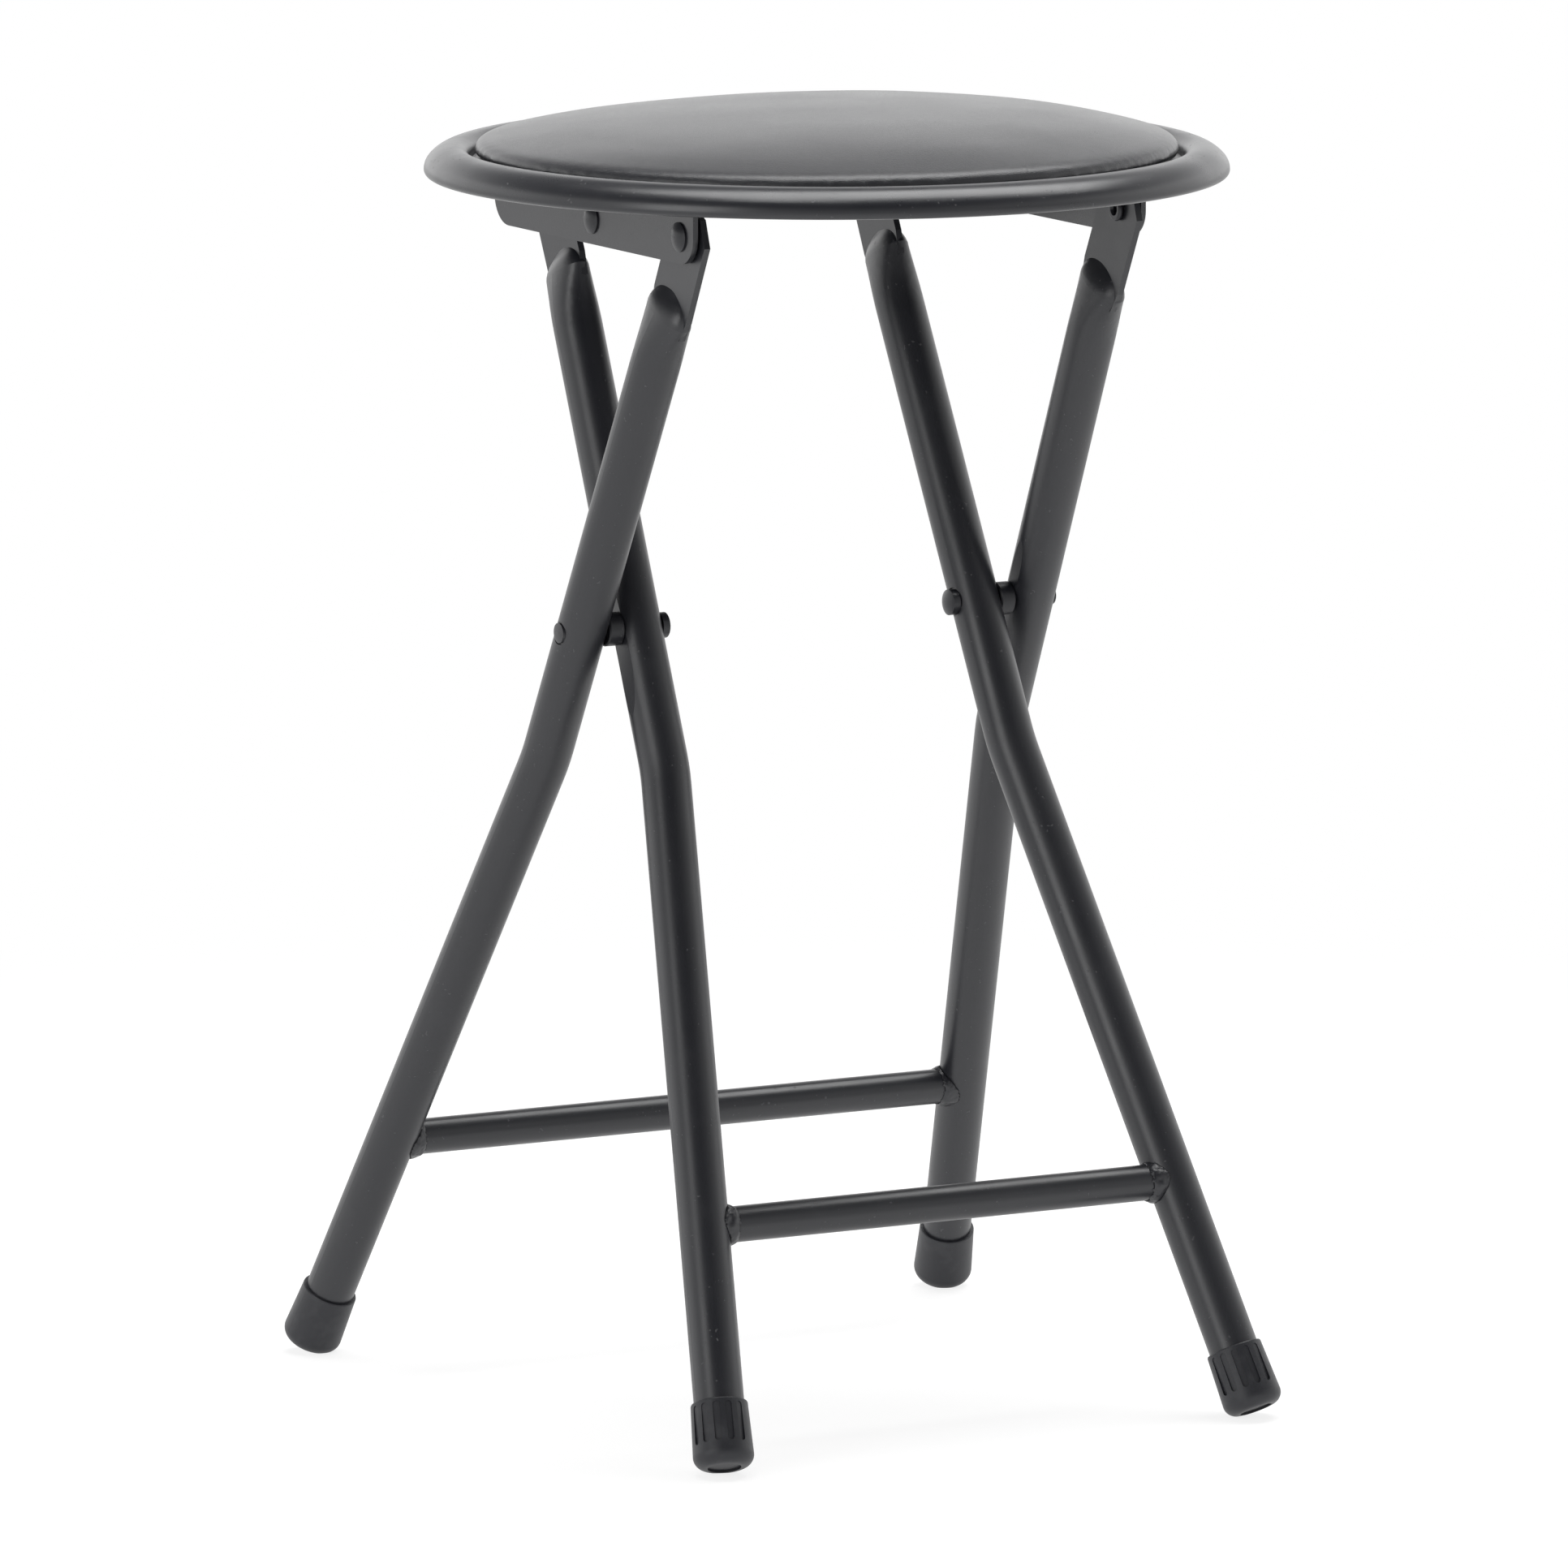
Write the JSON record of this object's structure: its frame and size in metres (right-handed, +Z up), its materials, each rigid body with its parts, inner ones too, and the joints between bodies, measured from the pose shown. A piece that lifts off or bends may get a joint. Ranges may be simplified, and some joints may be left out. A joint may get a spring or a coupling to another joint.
{
  "type": "folding stool",
  "caption": "Round folding stool: a domed pad in a pressed steel rim on two crossed tube frames, with linked seat brackets and rubber foot caps.",
  "frame": {"origin": "middle of the stool's outline in X and Y, on the floor, with the stool open", "axes": "+X to the right along the hinge axes, +Y to the back of the seat, +Z up"},
  "size_m": [0.29, 0.3064, 0.4692],
  "materials": {
    "frame_coat": "satin",
    "seat_coat": "satin",
    "link_coat": "satin",
    "foot_rubber": "matte",
    "rivet_steel": "satin",
    "bush_steel": "satin",
    "screw_steel": "zinc plated",
    "board": "pressed fibreboard",
    "foam": "open cell foam",
    "cover": "fine grained leathercloth"
  },
  "bodies": {
    "outer_frame": {"outer_leg_left": "frame_coat", "outer_leg_right": "frame_coat", "outer_crossbar": "frame_coat", "outer_welds": "frame_coat", "outer_foot_cap_left": "foot_rubber", "outer_foot_cap_right": "foot_rubber", "crossing_rivet_left": "rivet_steel", "crossing_rivet_right": "rivet_steel", "crossing_bush_left": "bush_steel", "crossing_bush_right": "bush_steel"},
    "inner_frame": {"inner_leg_left": "frame_coat", "inner_leg_right": "frame_coat", "inner_crossbar": "frame_coat", "inner_welds": "frame_coat", "inner_foot_cap_left": "foot_rubber", "inner_foot_cap_right": "foot_rubber", "link_rivet_tail_left": "rivet_steel", "link_rivet_tail_right": "rivet_steel"},
    "seat": {"seat_rim": "seat_coat", "seat_plate": "seat_coat", "pad_board": "board", "pad_foam": "foam", "pad_cover": "cover", "seat_screws": "screw_steel", "bracket_left": "seat_coat", "bracket_right": "seat_coat", "seat_rivet_left": "rivet_steel", "seat_rivet_right": "rivet_steel", "seat_washer_left": "bush_steel", "seat_washer_right": "bush_steel", "middle_rivet_left": "rivet_steel", "middle_rivet_right": "rivet_steel", "middle_spacer_left": "bush_steel", "middle_spacer_right": "bush_steel"},
    "links": {"link_left": "link_coat", "link_right": "link_coat", "link_rivet_head_left": "rivet_steel", "link_rivet_head_right": "rivet_steel"}
  },
  "joints": [
    {"name": "seat_fold", "type": "hinge", "parent": "outer_frame", "child": "seat", "pos_m": [0, -0.0678, 0.4334], "axis": [1, 0, 0], "range_deg": [0, 110]},
    {"name": "frame_scissor", "type": "hinge", "parent": "outer_frame", "child": "inner_frame", "pos_m": [0, 0.00654, 0.283], "axis": [1, 0, 0], "range_deg": [0, 42.1]},
    {"name": "link_swing", "type": "hinge", "parent": "seat", "child": "links", "pos_m": [0, -0.00146, 0.4329], "axis": [1, 0, 0], "range_deg": [-153.5, 0]}
  ],
  "couplings": [
    {"joint": "frame_scissor", "follows": "seat_fold", "ratio": 0.3827},
    {"joint": "link_swing", "follows": "seat_fold", "ratio": -1.3955}
  ]
}
